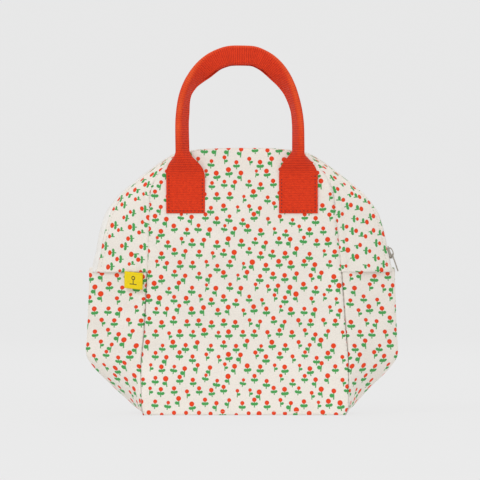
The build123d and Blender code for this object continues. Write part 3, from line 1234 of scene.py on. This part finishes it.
@dataclass
class Zip:
    """The zip over the top: tape and teeth on each half, and topstitching on the facings."""

    form: Form
    finishes: Finishes
    tape_out: float = 10.5
    tape_in: float = 0.9
    tape_t: float = 0.7
    pitch: float = 1.9
    tooth: tuple[float, float, float] = (1.15, 2.7, 1.1)
    teeth_y: float = 1.1
    teeth_drop: float = 0.45
    rough_length: float = 440.0
    stitch_step: float = 3.3
    stitch: tuple[float, float, float] = (2.3, 0.5, 0.5)
    count: int = 300

    def line(self, y: float, drop: float) -> Array:
        """A line along the zip at a given y, drop under the zip's crest."""
        flat = self.form.arch(self.count, lambda angle: drop + 0 * angle)
        return np.stack([flat[:, 0], np.full(len(flat), y), flat[:, 1]], axis=1)

    def upward(self, points: Array) -> Array:
        """The direction out from the zip's arch at each point.

        Args:
            points: places along the zip.

        Returns:
            A unit direction for each.
        """
        out = points - np.array([0, 0, ARCH_Z])
        out[:, 1] = 0
        return out / np.linalg.norm(out, axis=1, keepdims=True)

    def build(self) -> None:
        """Makes both halves of the zip."""
        for face in Face:
            self.tape(face)
            self.teeth(face)
            self.topstitch(face)
            LOG.info("%s half of the zip", face.word)

    def tape(self, face: Face) -> None:
        """The woven tape, tucked under the facing, with a beaded edge.

        Args:
            face: which half of the zip.
        """
        tucked, _ = self.form.facing(face, 1.7, self.count, 44)
        shown = [
            self.line(face.value * y, 0.9 - 0.4 * math.sin(math.pi * y / self.tape_out))
            for y in np.linspace(6.6, self.tape_in, 8)
        ]
        points = np.concatenate([tucked[:, -14:-2:2], np.stack(shown, axis=1)], axis=1)
        run = run_length(points, 0)[:, :1]
        uv = np.stack([np.broadcast_to(run, points.shape[:2]), run_length(points, 1)], axis=2)
        points, uv = oriented(points, uv, points - np.array([0, 0, ARCH_Z]))
        obj = dress(cloth(f"{face.word}_tape", points, uv, self.tape_t), self.finishes.tape)
        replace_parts(across_mouth(obj), f"{face.word}_zip_tape")

    def teeth(self, face: Face) -> None:
        """The row of teeth that locks into the other row, half a pitch away.

        Args:
            face: which half of the zip.
        """
        line = self.line(face.value * self.teeth_y, self.teeth_drop)
        if face is Face.BACK:
            line = line[::-1]
        shift = int(self.count * self.pitch / 2 / self.rough_length) if face is Face.BACK else 0
        line = even(line[shift:], self.count)
        run = [(line, self.upward(line))]
        obj = repeat(f"{face.word}_teeth", Repeat.TOOTH, run, self.pitch, self.tooth, self.finishes.teeth)
        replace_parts(across_mouth(obj), f"{face.word}_zip_teeth")

    def topstitch(self, face: Face) -> None:
        """The stitches along the facing's folded edge.

        Args:
            face: which half of the zip.
        """
        points, _ = self.form.facing(face, 0)
        normals = grid_normals(points)
        if (normals * (points - ARCH_HEART)).sum() < 0:
            normals = -normals
        line, out = points[4:-4, -4], normals[4:-4, -4]
        obj = repeat(
            f"{face.word}_facing_stitches", Repeat.STITCH, [(line + out * 0.05, out)], self.stitch_step, self.stitch,
            self.finishes.seam_thread,
        )
        across_mouth(obj)


@dataclass
class Handle:
    """One webbing handle: two sewn ends, and a grip folded in half along its length."""

    face: Face
    finishes: Finishes
    webbing_w: float = 38.5
    thick: float = 1.7
    loop: Knots = (
        (-66, 104), (-66.3, 78), (-65, 61), (-62.5, 48), (-58, 36), (-51.5, 25), (-42, 14), (-28, 4.7), (-10, -0.3),
        (10, 0), (25, 5.2), (37, 14), (46.5, 26), (52.5, 38), (56.8, 51), (60, 65), (61.7, 80), (62, 104),
    )
    turn_left: Knots = ((0, 24), (100, 20), (122, 12), (134, 20), (146, 40), (158, 66), (178, 90), (400, 90))
    turn_right: Knots = ((0, 17), (90, 13), (104, 11), (122, 18), (138, 36), (154, 62), (182, 90), (400, 90))
    fold_low: float = 31.0
    fold_high: float = 65.0
    fold_angle: float = 86.0
    fold_sharp: float = 0.72
    leg: float = 7.2
    uneven: float = 0.25
    stitch_step: float = 3.4
    stitch: tuple[float, float, float] = (2.0, 0.95, 0.8)

    def __post_init__(self) -> None:
        """Reads where the CAD's handle and its sewn ends are."""
        word = self.face.word
        low, high = corners(f"{word}_handle")
        self.top, self.middle = float(high[2]), float(low[0] + high[0]) / 2
        self.air_y = float(np.abs(low[1] + high[1])) / 2 + 0.7
        ends = [corners(f"{word}_handle_{side.word}_end") for side in Side]
        self.left_x, self.right_x = (float(a[0] + b[0]) / 2 for a, b in ends)
        self.sewn_low, self.sewn_high = float(ends[0][0][2]), float(ends[0][1][2])
        self.sewn_y = float(np.abs(np.array(ends[0])[:, 1]).max()) + 1.6
        self.hinge = pivot(f"{word}_handle_fold")

    def outer_edge(self, count: int) -> Array:
        """The grip's outer edge from the left end, over the top, to the right end, as x and z.

        Args:
            count: how many points.

        Returns:
            The points.
        """
        bent = np.array([(self.middle + x, self.top - drop) for x, drop in self.loop], float)
        step = np.concatenate([[0], np.cumsum(np.linalg.norm(np.diff(bent, axis=0), axis=1))])
        at = np.linspace(0, step[-1], 500)
        curve = np.stack([through(list(zip(step, bent[:, k])), at) for k in (0, 1)], axis=1)
        left = np.stack([np.full(60, curve[0, 0]), np.linspace(self.sewn_low, curve[0, 1], 61)[:-1]], axis=1)
        right = np.stack([np.full(60, curve[-1, 0]), np.linspace(curve[-1, 1], self.sewn_low, 61)[1:]], axis=1)
        line = even(np.concatenate([left, curve, right]), count)
        for _ in range(30):
            line[1:-1] = (line[:-2] + 2 * line[1:-1] + line[2:]) / 4
        return line

    def build(self) -> None:
        """Makes the webbing and its stitches."""
        count, q = 420, np.linspace(-1, 1, 45)
        edge = self.outer_edge(count)
        tangent = np.gradient(edge, axis=0)
        tangent /= np.linalg.norm(tangent, axis=1, keepdims=True)
        inward = np.stack([tangent[:, 1], -tangent[:, 0]], axis=1)
        run = np.concatenate([[0], np.cumsum(np.linalg.norm(np.diff(edge, axis=0), axis=1))])
        total = run[-1]
        from_end = np.minimum(run, total - run)
        left = run < total / 2
        fold = ease(from_end, self.fold_low, self.fold_high)
        turned = np.where(left, through(self.turn_left, from_end), through(self.turn_right, from_end))
        tilt = np.radians(turned) * fold
        alpha = np.radians(self.fold_angle) * fold
        bend = 1 - self.fold_sharp * fold
        dq = np.gradient(q) * self.webbing_w / 2
        angle = alpha[:, None] * np.clip(q[None, :] / bend[:, None], -1, 1)
        flat = np.cumsum(np.cos(angle) * dq, axis=1)
        back = np.cumsum(np.sin(angle) * dq, axis=1)
        flat -= flat[:, len(q) // 2][:, None]
        back = back - back[:, len(q) // 2][:, None]
        cos_t, sin_t = np.cos(tilt)[:, None], np.sin(tilt)[:, None]
        across = flat * cos_t + back * sin_t
        deep = back * cos_t - flat * sin_t
        wide = across.max(axis=1) - across.min(axis=1)
        across = across - (across.max(axis=1) + across.min(axis=1))[:, None] / 2
        sewn_mid = np.abs(np.where(left, self.left_x, self.right_x) - edge[:, 0])
        loose = ease(from_end, 34, 62)
        leg = np.minimum(wide / 2, self.leg + 20 * ease(from_end, 88, 125))
        across = across + (sewn_mid * (1 - loose) + leg * loose)[:, None]
        pressed = 0.5 + 0.5 * ease(from_end, 60, 92)
        deep = (deep - deep.min(axis=1)[:, None]) * pressed[:, None]
        reach = deep.max(axis=1)
        height = np.minimum(edge[:, 1], 400)
        on_panel = self.sewn_y + reach + 1.5 * ease(from_end, 40, 55)
        in_air = self.air_y + reach / 2
        front = on_panel + (in_air - on_panel) * ease(height, self.top - 104, self.top - 68)
        x = edge[:, :1] + inward[:, :1] * across
        z = edge[:, 1:] + inward[:, 1:] * across
        y = self.face.value * (front[:, None] - deep)
        points = np.stack([x, y, z], axis=2)
        waves = ripple(run[:, None], q[None, :] * 20, 61, 40, 9) * fold[:, None]
        points[..., 1] += self.uneven * waves
        uv = np.stack(np.broadcast_arrays(q[None, :] * self.webbing_w / 2, run[:, None]), axis=2)
        points, uv = oriented(points, uv, np.array([0, self.face.value, 0]))
        word = self.face.word
        obj = dress(cloth(f"{word}_handle_webbing", points, uv, self.thick), self.finishes.webbing)
        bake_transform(obj)
        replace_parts(obj, f"{word}_handle", f"{word}_handle_left_end", f"{word}_handle_right_end")
        self.stitches()
        LOG.info("%s handle: %.0f mm of webbing", word, total)

    def stitches(self) -> None:
        """The stitched boxes that hold both ends."""
        lines = []
        for mid in (self.left_x, self.right_x):
            half = self.webbing_w / 2 - 2.6
            low, high = self.sewn_low + 2.4, self.sewn_high - 4.2
            box = [(mid - half, low), (mid + half, low), (mid + half, high), (mid - half, high), (mid - half, low)]
            for a, b in zip(box, box[1:]):
                n = np.linspace(0, 1, 12)[:, None]
                flat = np.array(a) * (1 - n) + np.array(b) * n
                pts = np.stack([flat[:, 0], np.full(12, self.face.value * (self.sewn_y + 0.1)), flat[:, 1]], axis=1)
                lines.append((pts, np.tile([0.0, self.face.value, 0.0], (12, 1))))
        obj = repeat(
            f"{self.face.word}_handle_stitches", Repeat.STITCH, lines, self.stitch_step, self.stitch,
            self.finishes.handle_thread,
        )
        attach(obj, self.face.half)


@dataclass
class Label:
    """A folded ribbon label sewn into the left side seam."""

    finishes: Finishes
    width: float = 20.0
    height: float = 16.8
    thick: float = 0.5
    gap: float = 0.7
    sewn: float = 2.0
    slant: float = 1.9
    under: float = 2.4

    def build(self) -> None:
        """Makes the folded ribbon."""
        low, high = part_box("side_label")
        inner = np.array([high[0], low[1], high[2]]) / MM
        outer = np.array([low[0], high[1], high[2]]) / MM
        along = outer - inner
        along[2] = 0
        along /= np.linalg.norm(along)
        out = np.array([along[1], -along[0], 0.0])
        out = out if out[1] < 0 else -out
        n = 44
        turn = np.linspace(0, 1, n)
        leg = self.height - self.gap
        drop = np.where(turn < 0.47, turn / 0.47, np.where(turn > 0.53, (1 - turn) / 0.47, 1.0)) * leg
        arc = np.clip((turn - 0.47) / 0.06, 0, 1) * math.pi
        drop = drop + self.gap * np.sin(arc)
        off = self.gap * np.cos(arc) + 1.0 + 0.6 * np.sin(drop / leg * 2.2)
        s = np.linspace(0, 1, 30)
        points = (
            inner[None, None] + along[None, None] * (s[None, :, None] * self.width - self.sewn)
            + out[None, None] * off[:, None, None]
            + np.array([0, 0, 1.0]) * (s[None, :, None] * self.slant - self.under - drop[:, None, None])
        )
        travel = np.where(turn < 0.5, leg / 2 - drop, drop - leg / 2)
        uv = np.stack(np.broadcast_arrays((0.5 - s)[None, :] * self.width, travel[:, None]), axis=2)
        facing = np.where(turn < 0.5, 1.0, -1.0)[:, None, None] * out[None, None] * np.ones((n, 30, 1))
        points, uv = oriented(points, uv, facing)
        obj = dress(cloth("side_label_ribbon", points, uv, self.thick), self.finishes.ribbon)
        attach(obj, "side_label")
        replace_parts(obj, "side_label")
        LOG.info("side label")


@dataclass
class Hardware:
    """The metal slider, and its pull, whose CAD shape is kept."""

    finishes: Finishes
    plate_in: float = 1.75
    plate_t: float = 1.1
    wide: float = 4.6
    narrow: float = 3.4
    length: float = 13.0
    edge: float = 0.3
    flange_t: float = 0.75
    slot: float = 0.62
    crown_high: float = 2.95
    eye_high: float = 2.0
    crown_half: float = 1.25

    def __post_init__(self) -> None:
        """Reads how far along the zip the CAD's slider is."""
        low, high = corners("zip_slider")
        self.chain_r = float(corners("front_zip_teeth")[1][2]) - ARCH_Z - 0.6
        self.turn = math.asin((float(low[2] + high[2]) / 2 - ARCH_Z) / self.chain_r)

    def block(
        self, body: Any, outline: Sequence[tuple[float, float]], low: float, high: float, upright: bool = False
    ) -> None:
        """Adds a plate with softened edges.

        Args:
            body: the bmesh it is added to.
            outline: its corners, along the zip and across it, or along it and out from it if upright.
            low: where the plate starts, out from the zip, or across it if upright.
            high: where it ends.
            upright: True for a plate that stands on its edge.
        """
        turn = self.turn
        along, out = np.array([-math.sin(turn), 0, math.cos(turn)]), np.array([math.cos(turn), 0, math.sin(turn)])
        middle = self.chain_r * out + np.array([0, 0, ARCH_Z])
        across = np.array([0.0, 1.0, 0.0])
        second, third = (out, across) if upright else (across, out)
        rings = [
            [body.verts.new(Vector(tuple((middle + along * t + second * w + third * level) * MM))) for t, w in outline]
            for level in (low, high)
        ]
        faces = [body.faces.new(rings[0]), body.faces.new(rings[1][::-1])]
        for i in range(len(outline)):
            j = (i + 1) % len(outline)
            faces.append(body.faces.new([rings[0][j], rings[0][i], rings[1][i], rings[1][j]]))
        bmesh.ops.recalc_face_normals(body, faces=faces)
        edges = list({e for f in faces for e in f.edges})
        bmesh.ops.bevel(
            body, geom=edges, offset=self.edge * MM, segments=2, profile=0.6, affect="EDGES", clamp_overlap=True
        )

    def build(self) -> None:
        """Makes the slider, and gives the pull its metal."""
        body = bmesh.new()
        half = self.length / 2
        outline = [
            (-half, 0.9), (-half + 0.8, 2.6), (-half + 1.2, self.wide), (-1.0, self.wide),
            (half - 1.4, self.narrow), (half, self.narrow - 0.9),
        ]
        outline = outline + [(t, -w) for t, w in outline[::-1]]
        top = self.plate_in + self.plate_t
        self.block(body, outline, self.plate_in, top)
        self.block(body, outline, -top, -self.plate_in)
        for sign in (-1, 1):
            wall = [(-half + 1.6, sign * self.wide), (-1.0, sign * self.wide), (half - 1.6, sign * self.narrow)]
            inner = [(t, w - sign * self.flange_t) for t, w in wall[::-1]]
            for low, high in ((self.slot, top - 0.15), (-top + 0.15, -self.slot)):
                self.block(body, wall + inner, low, high)
        post = [(-half + 0.4, 0.9), (-half + 3.4, 0.5), (-half + 3.4, -0.5), (-half + 0.4, -0.9)]
        self.block(body, post, -self.plate_in - 0.1, self.plate_in + 0.1)
        turn = np.linspace(0, math.pi, 15)
        crown = [(5.0 * math.cos(a), top - 0.1 + self.crown_high * math.sin(a) ** 0.8) for a in turn]
        eye = [(3.7 * math.cos(a), top - 0.1 + self.eye_high * math.sin(a) ** 0.8) for a in turn[::-1]]
        self.block(body, crown + eye, -self.crown_half, self.crown_half, upright=True)
        mesh = bpy.data.meshes.new("slider_body")
        body.to_mesh(mesh)
        body.free()
        mesh.polygons.foreach_set("use_smooth", [True] * len(mesh.polygons))
        slider = bpy.data.objects.new("slider_body", mesh)
        bpy.context.scene.collection.objects.link(slider)
        dress(slider, self.finishes.metal)
        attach(slider, "zip_slider")
        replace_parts(slider, "zip_slider")
        LOG.info("zip slider")
        pull = frame["nodes"]["zip_pull"]
        pull.data.materials.clear()
        pull.data.materials.append(self.finishes.metal)
        LOG.info("zip pull: plated metal")


@dataclass
class Studio:
    """Pale floor, soft light and the camera."""

    distance: float = 5.2
    lens: float = 390.0
    centre_x: float = -0.002
    centre_z: float = 0.173
    pale: Colour = srgb(233, 233, 233)
    glow: float = 0.9
    flat_r: float = 7400.0
    bend_r: float = 1600.0

    def build(self) -> None:
        """Makes the stage, the lights and the camera."""
        self.floor()
        scene = bpy.context.scene
        scene.view_settings.view_transform = "Standard"
        world = bpy.data.worlds.new("studio")
        world.use_nodes = True
        world.node_tree.nodes["Background"].inputs["Color"].default_value = (1, 1, 1, 1)
        world.node_tree.nodes["Background"].inputs["Strength"].default_value = 0.9
        scene.world = world
        self.lamp("key", (-1.4, -2.2, 2.4), 1.6, 22)
        self.lamp("fill", (1.8, -2.4, 1.2), 1.8, 6)
        self.lamp("back", (0.3, 2.4, 2.2), 1.8, 12)
        data = bpy.data.cameras.new("camera")
        data.lens, data.sensor_width = self.lens, 36
        data.clip_end = 60
        camera = bpy.data.objects.new("camera", data)
        camera.location = (self.centre_x, -self.distance, self.centre_z)
        camera.rotation_euler = (math.pi / 2, 0, 0)
        scene.collection.objects.link(camera)
        scene.camera = camera

    def lamp(self, name: str, place: tuple[float, float, float], size: float, power: float) -> None:
        """One large soft lamp that looks at the bag.

        Args:
            name: the lamp's name.
            place: where it is, in metres.
            size: how wide it is, in metres.
            power: its power, in watts.
        """
        data = bpy.data.lights.new(name, "AREA")
        data.shape, data.size, data.energy = "DISK", size, power
        lamp = bpy.data.objects.new(name, data)
        lamp.location = place
        lamp.rotation_euler = (Vector((0, 0, 0.17)) - Vector(place)).to_track_quat("-Z", "Y").to_euler()
        bpy.context.scene.collection.objects.link(lamp)

    def floor(self) -> None:
        """A wide pale bowl that glows a little, so that it stays even all round."""
        turn, rise = np.linspace(0, 2 * math.pi, 97)[:-1], np.radians(np.linspace(0, 90, 13))
        wall = self.flat_r + self.bend_r
        bend = self.flat_r + self.bend_r * np.sin(rise[1:])
        out = np.concatenate([np.linspace(0.2, self.flat_r, 16), bend, [wall, wall]])
        up = np.concatenate([np.zeros(16), self.bend_r * (1 - np.cos(rise[1:])), [5000, 9000]]) - 0.3
        points = np.stack([out[:, None] * np.cos(turn), out[:, None] * np.sin(turn), up[:, None] + 0 * turn], axis=2)
        index = np.arange(len(out) * len(turn)).reshape(len(out), len(turn))
        after = np.roll(index, -1, axis=1)
        faces = np.stack([index[:-1].ravel(), index[1:].ravel(), after[1:].ravel(), after[:-1].ravel()], axis=1)
        obj = mesh_object("floor", points.reshape(-1, 3), faces)
        s = Shader("floor_paint")
        tone = s.noise(s.object_place(), 2.0)
        dim, lit = (tuple(c * share for c in self.pale) for share in (0.1, 0.103))
        surface = s.node("ShaderNodeBsdfPrincipled", {}, {
            "Base Color": s.mix(tone, dim, lit), "Roughness": 1.0,
            "Emission Color": (*self.pale, 1.0), "Emission Strength": self.glow, "Specular IOR Level": 0.0,
        })
        s.node("ShaderNodeOutputMaterial", {}, {0: surface.value()})
        obj.data.materials.append(s.material)


def main() -> None:
    """Builds the whole bag and its studio."""
    logging.basicConfig(level=logging.INFO, format="%(name)s: %(message)s")
    form, finishes = Form(), Finishes.make()
    Studio().build()
    Shell(form, finishes).build()
    Pocket(form, finishes).build()
    Zip(form, finishes).build()
    for face in Face:
        Handle(face, finishes).build()
    Label(finishes).build()
    Hardware(finishes).build()


if __name__ == "__main__":
    main()
